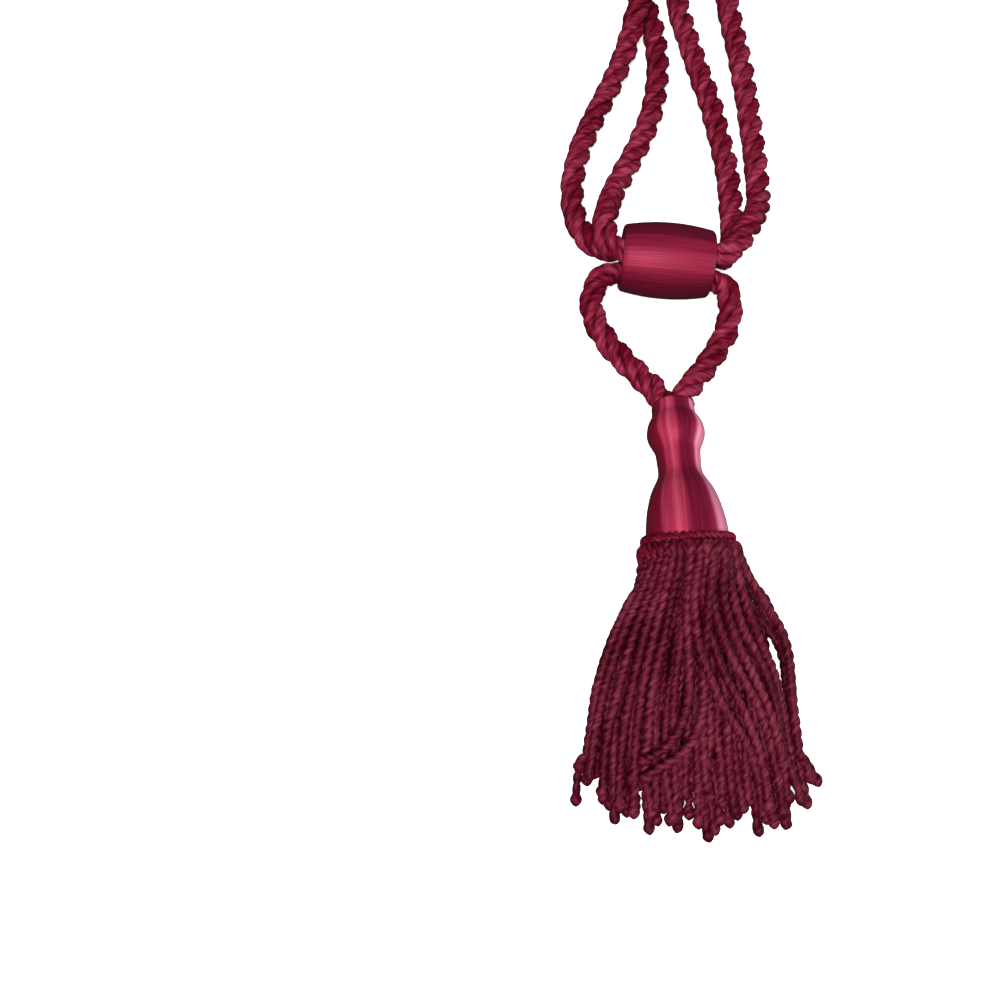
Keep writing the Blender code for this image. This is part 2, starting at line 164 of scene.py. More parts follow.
def piece_from_rings(name, groups, material, closed=False):
    """A smooth mesh of one or more tubes. A group holds rings of points, its distance along at
    each ring, its distance round at each side, and how far the lay has turned at each ring. The
    last three, in millimetres, become the UV map. In a closed group the last ring joins the
    first."""
    points, faces, uvs, base = [], [], [], 0
    for rings, along, around, turned in groups:
        count, sides = rings.shape[:2]
        points.append(rings.reshape(-1, 3))
        rows = count if closed else count - 1
        i, j = np.meshgrid(np.arange(rows), np.arange(sides), indexing="ij")
        following, beside = (i + 1) % count, (j + 1) % sides
        here, there = i * sides, following * sides
        corners = [here + j, there + j, there + beside, here + beside]
        faces.append(base + np.stack(corners, axis=-1).reshape(-1, 4))
        u = np.stack([along[i], along[i + 1], along[i + 1], along[i]], axis=-1)
        v = np.stack([around[j], around[j], around[j + 1], around[j + 1]], axis=-1)
        v = v + np.stack([turned[i], turned[i + 1], turned[i + 1], turned[i]], axis=-1)
        uvs.append(np.stack([u, v], axis=-1).reshape(-1, 2))
        base += count * sides
    faces = [list(map(int, face)) for face in np.vstack(faces)]
    uvs = np.vstack(uvs)
    if not closed:
        base, ends = 0, []
        for rings, *_ in groups:
            count, sides = rings.shape[:2]
            ends.append(list(range(base, base + sides)))
            ends.append(list(range(base + count * sides - 1, base + (count - 1) * sides - 1, -1)))
            base += count * sides
        faces += ends
        uvs = np.vstack([uvs, np.zeros((sum(map(len, ends)), 2))])
    mesh = bpy.data.meshes.new(name)
    mesh.from_pydata(np.vstack(points).tolist(), [], faces)
    mesh.uv_layers.new(name="lay").data.foreach_set("uv", uvs.ravel())
    mesh.polygons.foreach_set("use_smooth", np.ones(len(mesh.polygons), bool))
    mesh.materials.append(material)
    made = bpy.data.objects.new(name, mesh)
    scene.collection.objects.link(made)
    return made


def flat_below(rings, softness=0.8):
    """Presses what would reach below the surface up against it."""
    low = rings[..., 2] / MM
    pressed = softness * np.exp(np.minimum(low - softness, 0.0) / softness)
    rings[..., 2] = np.where(low < softness, pressed, low) * MM
    return rings


def slow_noise(rng, length, wave):
    """A gentle random swing from -1 to 1 along a length, with that many steps to a wave."""
    knots = rng.uniform(-1.0, 1.0, int(length / wave) + 4)
    places = np.arange(length) / wave
    low = places.astype(int)
    part = (1 - np.cos(math.pi * (places - low))) / 2
    return knots[low] * (1 - part) + knots[low + 1] * part


def linear(colour):
    """An sRGB hex colour as linear RGBA."""
    values = [int(colour[i : i + 2], 16) / 255 for i in (1, 3, 5)]
    return (*[v / 12.92 if v < 0.04045 else ((v + 0.055) / 1.055) ** 2.4 for v in values], 1.0)


def add_node(tree, kind, inputs=(), **settings):
    """Adds a shader node, sets it, and links or fills its inputs."""
    made = tree.nodes.new("ShaderNode" + kind)
    for name, value in settings.items():
        setattr(made, name, value)
    for socket, value in dict(inputs).items():
        if isinstance(value, bpy.types.NodeSocket):
            tree.links.new(value, made.inputs[socket])
        else:
            made.inputs[socket].default_value = value
    return made


def viscose_yarn(name, dark, middle, light, roughness, streak_mm, sheen_patch_mm):
    """Spun viscose yarn: fine bright filaments that lie along the yarn, and patches of painted
    sheen and painted shade, pale where filaments leaning another way would catch the light and
    deep where they would not. It has a soft shine. Real filaments are 0.02 mm, so the streaks
    are drawn coarser than that."""
    made = bpy.data.materials.new(name)
    made.use_nodes = True
    tree = made.node_tree
    shader = tree.nodes["Principled BSDF"]
    lay = add_node(tree, "UVMap", uv_map="lay").outputs["UV"]
    found = []
    grains = ((4.0, streak_mm, 3.0), (sheen_patch_mm * 1.6, sheen_patch_mm, 1.0), (40.0, 60.0, 0.0))
    for long_mm, wide_mm, detail in grains:
        size = (1 / long_mm, 1 / wide_mm, 1.0)
        scaled = add_node(tree, "Mapping", {"Vector": lay, "Scale": size}).outputs["Vector"]
        noise = {"Vector": scaled, "Scale": 1.0, "Detail": detail}
        found.append(add_node(tree, "TexNoise", noise).outputs["Fac"])
    streaks, sheen_patches, lengths = found
    # The patches carry the colour from painted shade (dark) to painted sheen (light)
    tone = add_node(tree, "Math", {0: streaks, 1: 0.35}, operation="MULTIPLY").outputs[0]
    for grain, share in ((sheen_patches, 0.4), (lengths, 0.25)):
        added = {0: grain, 1: share, 2: tone}
        tone = add_node(tree, "Math", added, operation="MULTIPLY_ADD").outputs[0]
    ramp = add_node(tree, "ValToRGB", {"Fac": tone})
    ramp.color_ramp.elements[0].position = 0.40
    ramp.color_ramp.elements[0].color = linear(dark)
    ramp.color_ramp.elements[1].position = 0.62
    ramp.color_ramp.elements[1].color = linear(light)
    ramp.color_ramp.elements.new(0.5).color = linear(middle)
    bump = add_node(tree, "Bump", {"Height": streaks, "Strength": 0.5, "Distance": 0.00025})
    tree.links.new(ramp.outputs["Color"], shader.inputs["Base Color"])
    tree.links.new(bump.outputs["Normal"], shader.inputs["Normal"])
    shader.inputs["Roughness"].default_value = roughness
    shader.inputs["Specular IOR Level"].default_value = 0.22
    shader.inputs["Specular Tint"].default_value = linear("#F0A0B4")
    return made


route = [*LEFT_LEG, *pass_through_slide(210.0), *RIGHT_ARM]
route += [*reversed(pass_through_slide(330.0)), *LEFT_ARM, *pass_through_slide(90.0), *RIGHT_LEG]
centres, walked = smooth_curve(route, 0.8 * MM)
walked_mm = walked / MM

slide_x = centres[:, 0] * math.cos(SLIDE_TURN) + centres[:, 1] * math.sin(SLIDE_TURN)
slide_y = -centres[:, 0] * math.sin(SLIDE_TURN) + centres[:, 1] * math.cos(SLIDE_TURN)
off_axis = np.hypot(slide_y, centres[:, 2] - BORE_HEIGHT * MM) / MM
# The cord is squeezed where it is in the bore, and swells again over 6 mm outside it
grown = np.clip((abs(slide_x) / MM - 17.0) / 6.0, 0.0, 1.0)
grown = np.where(off_axis < 10.5, grown * grown * (3 - 2 * grown), 1.0)
cord_radii = SQUEEZED_RADIUS + (CORD_RADIUS - SQUEEZED_RADIUS) * grown
to_end = np.minimum(walked_mm, walked_mm[-1] - walked_mm)
ended = np.clip((to_end - 2.0) / 4.5, 0.0, 1.0)
ended = END_RADIUS + (CORD_RADIUS - END_RADIUS) * ended * ended * (3 - 2 * ended)
cord_scale = np.minimum(cord_radii, ended) / CORD_RADIUS

PLY_OFFSET, PLY_HIGH, PLY_WIDE = 2.72, 2.16, 2.3  # from the cord's axis; half sizes of a ply
PLY_GIRTH = 2 * math.pi * 2.6
SIDES = 20
tangents, sides_a, sides_b = frames_along(centres)
rng = np.random.default_rng(7)
unevenness = slow_noise(rng, len(centres), 22.0)[:, None]
groups = []
for ply in range(PLIES):
    wander = 0.10 * slow_noise(rng, len(centres), 16.0)
    turn = (2 * math.pi * (walked_mm / CORD_LAY + ply / PLIES) + wander)[:, None]
    outward = sides_a * np.cos(turn) + sides_b * np.sin(turn)
    sideways = sides_b * np.cos(turn) - sides_a * np.sin(turn)
    slope = 2 * math.pi * PLY_OFFSET / CORD_LAY
    ahead = (tangents + slope * sideways) / math.hypot(1.0, slope)
    across = np.cross(ahead, outward)
    plump = 1 + 0.035 * slow_noise(rng, len(centres), 9.0)[:, None]
    size = cord_scale[:, None] * (1 + 0.02 * unevenness) * MM
    middle = centres + outward * PLY_OFFSET * size
    round_ply = np.linspace(0.0, 2 * math.pi, SIDES, endpoint=False)[None, :]
    spun = ply - 2 * math.pi * walked_mm[:, None] / YARN_LAY
    lobes = plump * (0.86 + 0.19 * np.abs(np.cos(YARNS / 2 * (round_ply + spun))))
    rings = middle[:, None, :]
    rings = rings + outward[:, None, :] * (PLY_HIGH * size * lobes * np.cos(round_ply))[..., None]
    rings = rings + across[:, None, :] * (PLY_WIDE * size * lobes * np.sin(round_ply))[..., None]
    around = np.linspace(0.0, PLY_GIRTH, SIDES + 1)
    along = walked_mm + 317.0 * ply  # so that the plies' streaks differ
    groups.append((flat_below(rings, 0.4), along, around, -walked_mm * PLY_GIRTH / YARN_LAY))

cord_yarn = viscose_yarn("spun_viscose_cord", "#460010", "#620720", "#8A3048", 0.5, 0.32, 2.6)
cord = piece_from_rings("cord_plies", groups, cord_yarn)
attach(cord, "root")
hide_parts("cable_cord")

# ---------------------------------------------------------------------------------------------
# The slide: a turned wooden barrel with a wide bore. Viscose floss is laid side by side along
# it, over both rims and back through the bore, until the wood is covered. Its bands of sheen
# and shade are painted into the floss's colour.

SLIDE_LENGTH = 34.0
SLIDE_RADIUS = 14.1
SLIDE_END_RADIUS = 12.2
SLIDE_BORE = 10.25
SLIDE_RIM = 0.95
SLIDE_THREADS = 96
SLIDE_SIDES = 288


def satin_floss(name, painted_bands, girth_mm, thread_mm, roughness):
    """Filament viscose floss, untwisted, each thread pressed flat beside the next. It is smooth
    and bright along the threads, with hair-thin grooves between them. Round the wood go bands of
    painted sheen and painted shade, given as (share of the girth, colour): the highlights of the
    studio lights and the dark sides turned from them. Threads of 0.3 mm are drawn a little
    coarser than they are."""
    made = bpy.data.materials.new(name)
    made.use_nodes = True
    tree = made.node_tree
    shader = tree.nodes["Principled BSDF"]
    lay = add_node(tree, "UVMap", uv_map="lay").outputs["UV"]
    found = []
    for long_mm, wide_mm, detail in ((30.0, thread_mm, 2.0), (45.0, 6.0, 1.0)):
        size = (1 / long_mm, 1 / wide_mm, 1.0)
        scaled = add_node(tree, "Mapping", {"Vector": lay, "Scale": size}).outputs["Vector"]
        noise = {"Vector": scaled, "Scale": 1.0, "Detail": detail}
        found.append(add_node(tree, "TexNoise", noise).outputs["Fac"])
    threads, drift = found
    across = add_node(tree, "SeparateXYZ", {"Vector": lay}).outputs["Y"]
    drift = add_node(tree, "Math", {0: drift, 1: 0.5}, operation="SUBTRACT").outputs[0]
    drifted = {0: drift, 1: girth_mm * 0.04, 2: across}
    drifted = add_node(tree, "Math", drifted, operation="MULTIPLY_ADD").outputs[0]
    turns = add_node(tree, "Math", {0: drifted, 1: girth_mm}, operation="DIVIDE")
    share = add_node(tree, "Math", {0: turns.outputs[0]}, operation="FRACT").outputs[0]
    # The colour round the girth is painted sheen and painted shade, band by band
    ramp = add_node(tree, "ValToRGB", {"Fac": share})
    ramp.color_ramp.interpolation = "EASE"
    stops = ramp.color_ramp.elements
    stops[0].position, stops[1].position = painted_bands[0][0], painted_bands[-1][0]
    stops[0].color, stops[1].color = linear(painted_bands[0][1]), linear(painted_bands[-1][1])
    for place, colour in painted_bands[1:-1]:
        stops.new(place).color = linear(colour)
    bright = {"Value": threads, "From Min": 0.3, "From Max": 0.7, "To Min": 0.72, "To Max": 1.25}
    bright = add_node(tree, "MapRange", bright).outputs["Result"]
    shade = {0: ramp.outputs["Color"], "Scale": bright}
    shaded = add_node(tree, "VectorMath", shade, operation="SCALE").outputs["Vector"]
    bump = add_node(tree, "Bump", {"Height": threads, "Strength": 0.25, "Distance": 0.00012})
    tree.links.new(shaded, shader.inputs["Base Color"])
    tree.links.new(bump.outputs["Normal"], shader.inputs["Normal"])
    shader.inputs["Roughness"].default_value = roughness
    shader.inputs["Specular IOR Level"].default_value = 0.2
    shader.inputs["Specular Tint"].default_value = linear("#E88098")
    return made


def turned_rings(profile, steps, threads, depth, rng):
    """Rings of a turned form about local Z, from (radius, height) points in millimetres. The
    threads that cover it stand up from it by the depth, each by its own amount."""
    profile = np.asarray(profile, float)
    angles = np.linspace(0.0, 2 * math.pi, steps, endpoint=False)
    heights = rng.uniform(0.45, 1.0, threads)
    place = angles * threads / (2 * math.pi)
    ridge = np.sin(math.pi * (place % 1.0)) ** 0.5 * heights[place.astype(int) % threads]
    radii = profile[:, 0, None] + depth * (ridge - 0.5)[None, :]
    rings = np.stack(
        [radii * np.cos(angles), radii * np.sin(angles), np.repeat(profile[:, 1, None], steps, 1)],
        axis=-1,
    )
    along = np.r_[0.0, np.cumsum(np.linalg.norm(np.diff(profile, axis=0), axis=1))]
    return rings, along


half = SLIDE_LENGTH / 2
lip = [(SLIDE_BORE + SLIDE_RIM * (1 - math.cos(a)), half - SLIDE_RIM + SLIDE_RIM * math.sin(a))
       for a in np.linspace(0.0, math.pi, 9)]
shoulder = [(SLIDE_RADIUS - (SLIDE_RADIUS - SLIDE_END_RADIUS) * (z / half) ** 2, z)
            for z in np.linspace(half - SLIDE_RIM, -half + SLIDE_RIM, 33)]
profile = [(SLIDE_BORE, 0.0), *lip[:-1], *shoulder, *[(r, -z) for r, z in reversed(lip[:-1])]]
local, along = turned_rings(profile, SLIDE_SIDES, SLIDE_THREADS, 0.09, np.random.default_rng(3))
# The barrel's own Z lies along the slide's axis on the surface
axis = np.array([math.cos(SLIDE_TURN), math.sin(SLIDE_TURN), 0.0])
beside = np.array([-axis[1], axis[0], 0.0])
above = np.array([0.0, 0.0, 1.0])
rings = local[..., 2:3] * axis + local[..., 0:1] * beside + local[..., 1:2] * above
rings = (rings + (0.0, 0.0, BORE_HEIGHT)) * MM
rings = flat_below(rings, 0.3)
slide_girth = 2 * math.pi * SLIDE_RADIUS
around = np.linspace(0.0, slide_girth, SLIDE_SIDES + 1)
along = np.r_[along, along[-1] + half]
# Painted shade and painted sheen round the barrel: dark along the sides turned from the overhead
# light, bright in the middle band that faces it
slide_painted_sheen = [
    (0.0, "#4C0C20"), (0.219, "#500C22"), (0.236, "#69132B"), (0.285, "#6C142B"),
    (0.305, "#7C1F35"), (0.370, "#7C1F35"), (0.392, "#6C142A"), (0.425, "#5C0E22"),
    (0.445, "#500C20"), (0.56, "#4C0C1E"), (0.8, "#600E26"), (1.0, "#4C0C20"),
]
slide_floss = satin_floss("satin_floss_slide", slide_painted_sheen, slide_girth, 0.5, 0.42)
slide = piece_from_rings(
    "floss_covered_slide", [(rings, along, around, np.zeros(len(along)))], slide_floss, closed=True
)
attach(slide, "root")
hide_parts("barrel_slide")

# ---------------------------------------------------------------------------------------------
# The head: a turned wooden form with a ball, a waist and a bell, covered from top to bottom with
# the same floss, laid down its length and drawn in at the top round the two ends of the cord.

HEAD_TOP = np.array([0.0, -57.2, 9.5])
HEAD_LEAN = math.radians(7.2)
HEAD_TURN = math.radians(1.2)
HEAD_PROFILE = [  # radius, distance down the head's axis
    (6.2, 8.5), (6.5, 5.0), (6.7, 1.5), (6.9, 0.3), (7.3, 0.1), (7.6, 0.9), (7.7, 3.2),
    (8.0, 5.3), (9.1, 7.4), (9.9, 9.6), (10.3, 12.2), (9.9, 14.6), (8.9, 17.0), (8.0, 19.4),
    (7.7, 23.4), (7.6, 27.2), (8.1, 29.8), (9.3, 32.4), (10.8, 35.4), (12.1, 39.4),
    (13.0, 43.4), (13.6, 47.4), (13.9, 51.0), (13.9, 62.8),
]
HEAD_BASE = 62.8
HEAD_GIRTH = 60.0  # near the middle of its length
HEAD_THREADS = 84
HEAD_SIDES = 252

down_head = np.array([
    math.sin(HEAD_TURN) * math.cos(HEAD_LEAN),
    -math.cos(HEAD_TURN) * math.cos(HEAD_LEAN),
    math.sin(HEAD_LEAN),
])
head_right = np.cross((0.0, 0.0, 1.0), -down_head)
head_right = -head_right / np.linalg.norm(head_right)
head_up = np.cross(down_head, head_right)
if head_up[2] < 0:
    head_up = -head_up


def at_head(local):
    """Places, in metres, of points given in millimetres: right of the head's axis, up from it
    and down along it."""
    placed = local[..., 0:1] * head_right + local[..., 1:2] * head_up + local[..., 2:3] * down_head
    return (placed + HEAD_TOP) * MM


outline, _ = smooth_curve([(r, d, 0.0) for r, d in HEAD_PROFILE], 0.6)
outline = np.vstack([outline[:, :2], [(0.05, HEAD_BASE)]])
local, along = turned_rings(outline, HEAD_SIDES, HEAD_THREADS, 0.08, np.random.default_rng(5))
around = np.linspace(0.0, HEAD_GIRTH, HEAD_SIDES + 1)
# Painted sheen and painted shade round the head: a pink highlight on the right edge where the side
# light grazes it, a bright band towards the overhead light, and dark floss turned from both
head_painted_sheen = [
    (0.0, "#C87490"), (0.03, "#D07C98"), (0.125, "#CC7892"), (0.162, "#701434"),
    (0.20, "#5A0E24"), (0.255, "#5C0E24"), (0.287, "#8C2840"), (0.315, "#A03A50"),
    (0.34, "#86203A"), (0.365, "#8C283E"), (0.39, "#620C22"), (0.53, "#5C0C20"),
    (0.9, "#700F2A"), (1.0, "#C87490"),
]
head_floss = satin_floss("satin_floss_head", head_painted_sheen, HEAD_GIRTH, 0.5, 0.4)
head = piece_from_rings(
    "floss_covered_head", [(at_head(local), along, around, np.zeros(len(along)))], head_floss
)
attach(head, "root")
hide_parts("tassel_head")

# ---------------------------------------------------------------------------------------------
# The heading: the fringe is sewn round the head's base, and a fine twisted cord over a thick one
# hides the stitches. Both are two-ply viscose cord laid Z, pulled tight into rings.

# Distance down the head, ring radius, half height, half depth, strokes round it
HEADING_RINGS = [
    (53.6, 15.0, 1.6, 1.2, 42),
    (58.4, 15.8, 3.3, 2.1, 34),
]
HEADING_SLUMP = 4.5  # how far the rings have sagged towards the fringe on top


def twisted_section(turn, angles, ply):
    """How far out each side of a two-ply cord stands, from 0 to 1, for plies of that radius."""
    away = np.abs((angles - turn + math.pi / 2) % math.pi - math.pi / 2)
    offset = 1.0 - ply
    return offset * np.cos(away) + np.sqrt(ply**2 - (offset * np.sin(away)) ** 2)


groups = []
for down, ring_radius, high, deep, strokes in HEADING_RINGS:
    count, sides = strokes * 16, 18
    place = np.linspace(0.0, 2 * math.pi, count, endpoint=False)[:, None]
    angles = np.linspace(0.0, 2 * math.pi, sides, endpoint=False)[None, :]
    turn = place * strokes / 2
    reach = twisted_section(turn, angles, 0.58)
    radius = ring_radius + deep * reach * np.cos(angles)
    sagged = np.sin(place)
    sagged = HEADING_SLUMP * (2 * sagged + sagged**2) / 3
    level = down + sagged - high * reach * np.sin(angles)
    local = np.stack([radius * np.cos(place), radius * np.sin(place), level], axis=-1)
    along = np.linspace(0.0, 2 * math.pi * ring_radius, count + 1)
    around = np.linspace(0.0, math.pi * (high + deep), sides + 1)
    twist = np.linspace(0.0, -strokes / 2 * math.pi * (high + deep), count + 1)
    groups.append((flat_below(at_head(local)), along, around, twist))
heading_yarn = viscose_yarn(
    "twisted_viscose_heading", "#3C000E", "#540418", "#701E34", 0.5, 0.3, 2.0
)
heading = piece_from_rings("heading_rings", groups, heading_yarn, closed=True)
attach(heading, "root")
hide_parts("fringe_heading")

# ---------------------------------------------------------------------------------------------
# The fringe: bullion, long two-ply strands twisted back on themselves, so that each ends in a
# small loop. They hang from the heading all round, and here they have fallen flat on the
# surface in a fan, over and across each other, with the last ones lying on top.

STRAND_RADIUS = 1.68
STRAND_LAY = 6.8
STRAND_POINTS = 40
STATIONS = (-121.0, -130.0, -142.0, -154.0, -166.0, -178.0)
# Strands on top. Columns: x at each station in STATIONS, then x and y of the loop at the end
TOP_STRANDS = [
    (-14.4, -19.2, -26.2, -30.1, -34.0, -36.6, -37.4, -186.0),
    (-12.6, -16.4, -22.0, -26.2, -30.0, -32.6, -33.6, -189.0),
    (-10.7, -13.4, -18.4, -22.0, -25.4, -28.3, -29.4, -196.0),
    (-8.8, -10.9, -14.9, -17.9, -20.8, -22.9, -24.6, -198.0),
    (-6.9, -8.9, -11.8, -14.9, -17.0, -18.5, -19.6, -200.5),
    (-5.0, -7.2, -8.6, -11.5, -13.9, -14.6, -21.2, -190.0),
    (-1.4, -1.6, -1.5, -1.0, -1.6, -8.0, -18.5, -183.5),
    (5.6, 4.9, 4.4, 4.0, 3.6, -1.0, -17.5, -188.5),
    (1.4, -0.4, 1.2, 4.2, 10.2, 18.3, 22.0, -190.0),
    (3.8, 2.6, 5.6, 9.8, 16.4, 21.6, 24.6, -199.0),
    (7.8, 5.8, 9.2, 15.2, 22.4, 26.6, 29.4, -200.0),
    (9.9, 9.2, 13.4, 19.6, 25.6, 28.2, 31.0, -196.0),
    (12.0, 12.6, 17.4, 24.6, 28.4, 30.0, 36.0, -196.5),
    (14.1, 16.4, 21.6, 27.4, 30.4, 32.6, 34.6, -191.0),
    (16.9, 23.0, 32.6, 33.9, 34.2, 36.2, 42.0, -190.4),
    (18.4, 26.4, 35.0, 35.9, 36.8, 38.2, 39.2, -189.5),
]
# Loops that show along the fringe's edge: x, y
EDGE_LOOPS = [
    (-36.4, -196.6), (-35.2, -187.0), (-31.2, -188.0), (-26.9, -198.4), (-33.0, -190.0),
    (-20.1, -199.4), (-14.5, -205.4),
    (-9.2, -203.1), (-3.4, -204.3), (0.6, -201.0), (3.8, -207.2), (6.8, -205.8), (10.3, -203.1),
    (-11.0, -200.5), (13.0, -203.0), (15.0, -200.0), (19.8, -206.0), (24.8, -201.0),
    (29.3, -200.7), (36.1, -197.0), (38.0, -188.0),
]
INNER_RINGS = ((0.76, 22), (0.42, 6))  # share of the bundle's radius, strands
# Section of the whole bundle: y, middle x, half width, height of its top
BUNDLE = np.array([
    (-112.0, 1.3, 14.4, 31.4), (-117.0, 1.6, 15.4, 33.4), (-121.0, 2.2, 16.4, 33.6),
    (-125.0, 3.0, 17.8, 31.4), (-130.0, 3.85, 22.2, 27.4), (-141.0, 3.9, 27.8, 21.4),
    (-150.0, 3.4, 30.8, 18.0), (-160.0, 2.0, 32.4, 15.5), (-170.0, 1.2, 33.2, 13.0),
    (-180.0, 0.6, 34.4, 10.4), (-190.0, 0.8, 34.6, 8.0), (-207.0, 1.4, 33.0, 5.0),
])
PARTING = (30.8, -151.5, 1.3, 8.5)  # where the surface shows between strands: x, y, half sizes


def bundle_at(y):
    """The bundle's middle, half width and height at that distance along."""
    return [np.interp(-np.asarray(y), -BUNDLE[:, 0], BUNDLE[:, k]) for k in (1, 2, 3)]


def top_strand(row):
    """Way of a strand that lies on top, through the places in its row."""
    *xs, tip_x, tip_y = row
    stations = [y for y in STATIONS if y > tip_y + 4.0]
    ys = np.array([-115.5, *stations, tip_y])
    xs = np.array([1.5 + 0.88 * (xs[0] - 2.0), *xs[: len(stations)], tip_x])
    mid, wide, top = bundle_at(ys)
    up = np.sqrt(np.maximum(1 - ((xs - mid) / (wide + 0.5)) ** 2, 0.0))
    raised = 1.4 * np.exp(-(((xs - 2.0) / 12.0) ** 2))  # those near the middle lie over others
    zs = raised + STRAND_RADIUS + (top - STRAND_RADIUS) * (1 + up) / 2
    return np.stack([xs, ys, zs], axis=1)


def hidden_strand(angle, share, tip, rng):
    """Way of a strand inside the bundle, at that angle and share of its radius, to its loop."""
    ys = np.array([-112.0, -118.0, -126.0, -136.0, -148.0, -160.0, -172.0, tip[1]])
    mid, wide, top = bundle_at(ys)
    xs = mid + share * wide * math.cos(angle)
    part = np.linspace(0.0, 1.0, len(ys)) ** 2
    sway = rng.uniform(-3, 3) * np.sin(np.linspace(0, 5, len(ys)))
    xs = xs * (1 - part) + tip[0] * part + sway
    low = np.interp(-ys, (118.0, 140.0), (0.97, 0.82))  # sunk between the strands below
    zs = STRAND_RADIUS + (top - STRAND_RADIUS) * low * (1 + share * math.sin(angle)) / 2
    return np.stack([xs, ys, zs], axis=1)


rng = np.random.default_rng(21)
strands = []
for loop in EDGE_LOOPS:
    mid, wide, _ = bundle_at(-190.0)
    angle = -math.acos(min(max((loop[0] - mid) / wide, -0.97), 0.97))
    strands.append(hidden_strand(angle, 0.98, loop, rng))
for share, count in INNER_RINGS:
    for number in range(count):
        angle = 2 * math.pi * (number + rng.uniform(0.2, 0.8)) / count
        tip_x = 1.0 + share * 36.0 * math.cos(angle) + rng.uniform(-3, 3)
        tip = (tip_x, rng.uniform(-203.0, -189.0))
        strands.append(hidden_strand(angle, share, tip, rng))
strands += [top_strand(row) for row in TOP_STRANDS]
paths = []
for strand in strands:
    dense, reach = smooth_curve(strand, 0.5)
    wanted = np.linspace(0.0, reach[-1], STRAND_POINTS)
    paths.append(np.stack([np.interp(wanted, reach, dense[:, k]) for k in range(3)], axis=1))
paths = np.array(paths)

# The strands settle: each point is pressed down, kept off the others, and held near its place
SETTLING_TURNS = 160
PUSH_APART = 0.16  # share of an overlap that one turn takes away
LONGEST_PUSH = 0.8
WEIGHT = 0.10
STIFFNESS = 0.25
PARTING_PUSH = 2.2
aimed = paths.copy()
on_top = (np.arange(len(paths)) >= len(paths) - len(TOP_STRANDS))[:, None, None]
held = np.where(on_top, (0.10, 0.08, 0.06), (0.04, 0.03, 0.03))
moved = np.where(on_top, (0.4, 0.4, 1.2), (0.9, 0.9, 0.7))
free = np.clip((np.arange(STRAND_POINTS) - 1) / 5.0, 0.0, 1.0)[None, :, None]
apart = 2 * STRAND_RADIUS * 0.97
others = 1 - np.eye(len(paths))[:, :, None]
for turn in range(SETTLING_TURNS):
    push = np.zeros_like(paths)
    for shift in range(-3, 4):
        low, high = max(0, -shift), STRAND_POINTS - max(0, shift)
        here, there = paths[:, low:high], paths[:, low + shift : high + shift]
        gap = here[:, None] - there[None]
        distance = np.sqrt((gap**2).sum(axis=3)) + 1e-6
        close = np.clip(apart - distance, 0.0, None) / distance * others
        push[:, low:high] += PUSH_APART * (gap * close[..., None]).sum(axis=1)
    paths += free * moved * np.clip(push, -LONGEST_PUSH, LONGEST_PUSH)
    paths += free * held * (aimed - paths)
    paths[..., 2] -= free[..., 0] * WEIGHT
    bent = (paths[:, :-2] + paths[:, 2:]) / 2 - paths[:, 1:-1]
    paths[:, 1:-1] += free[:, 1:-1] * STIFFNESS * bent
    x, y, half_x, half_y = PARTING
    from_x, from_y = paths[..., 0] - x, paths[..., 1] - y
    inside = 1 - (from_x / (half_x + STRAND_RADIUS)) ** 2 - (from_y / half_y) ** 2
    paths[..., 0] += np.clip(inside, 0.0, 1.0) * PARTING_PUSH * np.sign(from_x)
    paths[..., 2] = np.maximum(paths[..., 2], STRAND_RADIUS + 0.1)
    mid, wide, _ = bundle_at(paths[..., 1])
    room = wide + 0.2 + 20.0 * (paths[..., 1] < -181.0)
    paths[..., 0] = mid + np.clip(paths[..., 0] - mid, -room, room)


def bullion_strand(path, rng):
    """One strand as a tube with two lobes that turn as it goes, round at its looped end."""
    line, reach = smooth_curve(path, 0.6)
    _, side_a, side_b = frames_along(line)
    sides = 12
    angles = np.linspace(0.0, 2 * math.pi, sides, endpoint=False)[None, :]
    lay = STRAND_LAY * rng.uniform(0.94, 1.07)
    turn = (2 * math.pi * reach / lay + rng.uniform(0, math.pi))[:, None]
    lobes = twisted_section(turn, angles, 0.70)
    left = (reach[-1] - reach)[:, None]
    looped = 1 + 0.30 * np.exp(-(((left - 2.1) / 1.5) ** 2))
    looped = looped - 0.10 * np.exp(-(((left - 6.0) / 1.6) ** 2))
    rounded = np.sqrt(np.clip(1 - (np.maximum(2.2 - left, 0.0) / 2.2) ** 2, 0.03, 1.0))
    lobes = lobes + (0.95 - lobes) * np.exp(-((left / 3.0) ** 2))
    plump = 1 + 0.04 * slow_noise(rng, len(line), 12.0)[:, None]
    size = STRAND_RADIUS * lobes * looped * rounded * plump
    rings = line[:, None, :] + side_a[:, None, :] * (size * np.cos(angles))[..., None]
    rings = (rings + side_b[:, None, :] * (size * np.sin(angles))[..., None]) * MM
    rings = flat_below(rings, 0.3)
    girth = 2 * math.pi * STRAND_RADIUS
    around = np.linspace(0.0, girth, sides + 1)
    return rings, reach + rng.uniform(0, 500), around, -reach * girth / lay


def mass_share(y):
    """How much of the bundle's height its inside mass fills, at that distance along."""
    stations = (113.0, 122.0, 140.0, 170.0, 182.0, 190.0)
    return np.interp(-y, stations, (0.84, 0.76, 0.44, 0.28, 0.2, 0.1))


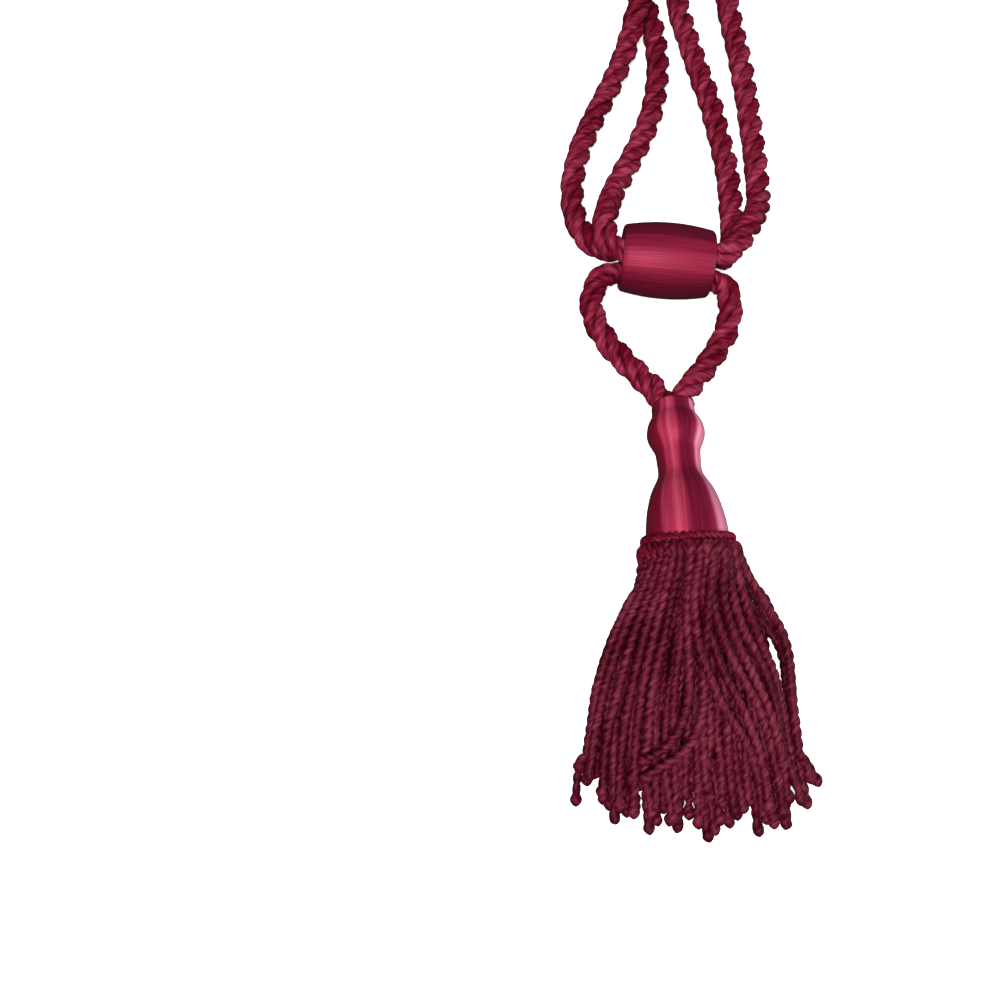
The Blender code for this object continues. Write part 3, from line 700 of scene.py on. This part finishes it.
# Between the strands that show, the fringe is a close mass: those are drawn as one, coloured
# near-black as painted shade for the depth among them
MASS_ROWS, MASS_SIDES, MASS_GIRTH = 60, 72, 120.0
mass_y = np.linspace(-113.5, -190.0, MASS_ROWS)
mid, wide, top = bundle_at(mass_y)
tapered = np.sqrt(np.clip((mass_y + 193.0) / 12.0, 0.05, 1.0))
angles = np.linspace(0.0, 2 * math.pi, MASS_SIDES + 1)[None, :-1]
folds = 1 - 0.05 * np.abs(np.sin(angles * 14))
shrunk = mass_share(mass_y)
across = mid[:, None] + (0.84 * wide * tapered)[:, None] * folds * np.cos(angles)
high = (1.0 + (top * shrunk * tapered)[:, None] * (1 + folds * np.sin(angles)) / 2)
rings = np.stack([across, np.repeat(mass_y[:, None], MASS_SIDES, 1), high], axis=-1) * MM
around = np.linspace(0.0, MASS_GIRTH, MASS_SIDES + 1)
# Near-black yarn: painted shade for the inside of the fringe, where little light reaches
painted_shade_yarn = viscose_yarn("bullion_painted_shade", "#060002", "#0A0002", "#160006", 1.0, 0.4, 3.0)
mass_group = (rings, -mass_y, around, np.zeros(MASS_ROWS))
mass = piece_from_rings("fringe_inside", [mass_group], painted_shade_yarn)
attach(mass, "root")
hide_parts("bullion_fringe")

fringe_yarn = viscose_yarn(
    "twisted_viscose_bullion", "#2A000A", "#420315", "#642232", 0.5, 0.28, 2.2
)
# A row of strands lies on that mass and shows where the ones above part
rng = np.random.default_rng(45)
deep = []
for share in np.linspace(-0.92, 0.92, 16):
    tip_y = rng.uniform(-202.0, -193.0)
    ys = np.array([-116.0, -126.0, -138.0, -150.0, -162.0, -174.0, -184.0, tip_y])
    mid, wide, top = bundle_at(ys)
    sway = 1.4 * rng.uniform(-1, 1, len(ys)) * np.linspace(0, 1, len(ys))
    xs = mid + share * 0.84 * wide + sway
    zs = 2.0 + top * mass_share(ys) * (1 + math.sqrt(1 - share**2)) / 2
    deep.append(np.stack([xs, ys, np.maximum(zs, STRAND_RADIUS + 0.1)], axis=1))

rng = np.random.default_rng(33)
made = [bullion_strand(path, rng) for path in [*paths, *deep]]
parts = [*np.array_split(np.arange(len(paths)), 3), np.arange(len(paths), len(made))]
names = ("fringe_under", "fringe_middle", "fringe_over", "fringe_deep")
for name, chosen in zip(names, parts):
    piece = piece_from_rings(name, [made[i] for i in chosen], fringe_yarn)
    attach(piece, "root")
    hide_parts("bullion_fringe")

# ---------------------------------------------------------------------------------------------
# The surface that the tieback lies on, a pale matt board, and two soft studio lights: a wide
# one overhead, set towards the fringe, and a long weak one along the right side.


def soft_light(name, place, aim, size, power):
    data = bpy.data.lights.new(name, "AREA")
    data.shape = "RECTANGLE"
    data.size, data.size_y = size
    data.energy = power
    made = bpy.data.objects.new(name, data)
    made.location = place
    made.rotation_euler = (Vector(aim) - Vector(place)).to_track_quat("-Z", "Y").to_euler()
    scene.collection.objects.link(made)


soft_light("overhead", (-0.18, -0.42, 0.85), (0.0, -0.05, 0.0), (0.34, 0.34), 16.0)
soft_light("right_side", (0.70, -0.12, 0.16), (0.0, -0.10, 0.012), (0.5, 0.16), 2.0)

world = bpy.data.worlds.new("studio")
world.use_nodes = True
tree = world.node_tree
room = tree.nodes["Background"]
room.inputs["Color"].default_value = linear("#F4F2F3")
# The room is pale to look at, but gives little light of its own
seen = add_node(tree, "LightPath").outputs["Is Camera Ray"]
strength = add_node(tree, "Math", {0: seen, 1: 0.9, 2: 0.09}, operation="MULTIPLY_ADD")
tree.links.new(strength.outputs[0], room.inputs["Strength"])
scene.world = world

board = bpy.data.materials.new("pale_matt_board")
board.use_nodes = True
shader = board.node_tree.nodes["Principled BSDF"]
shader.inputs["Base Color"].default_value = linear("#F6F4F5")
shader.inputs["Roughness"].default_value = 0.9
shader.inputs["Emission Color"].default_value = linear("#FBFAFA")
shader.inputs["Emission Strength"].default_value = 0.6
bpy.ops.mesh.primitive_plane_add(size=6.0, location=(0.0, 0.0, 0.0))
floor = bpy.context.object
floor.name = "studio_surface"
floor.data.materials.append(board)
floor.visible_diffuse = False  # its own white doesn't wash out the undersides
floor.visible_glossy = False
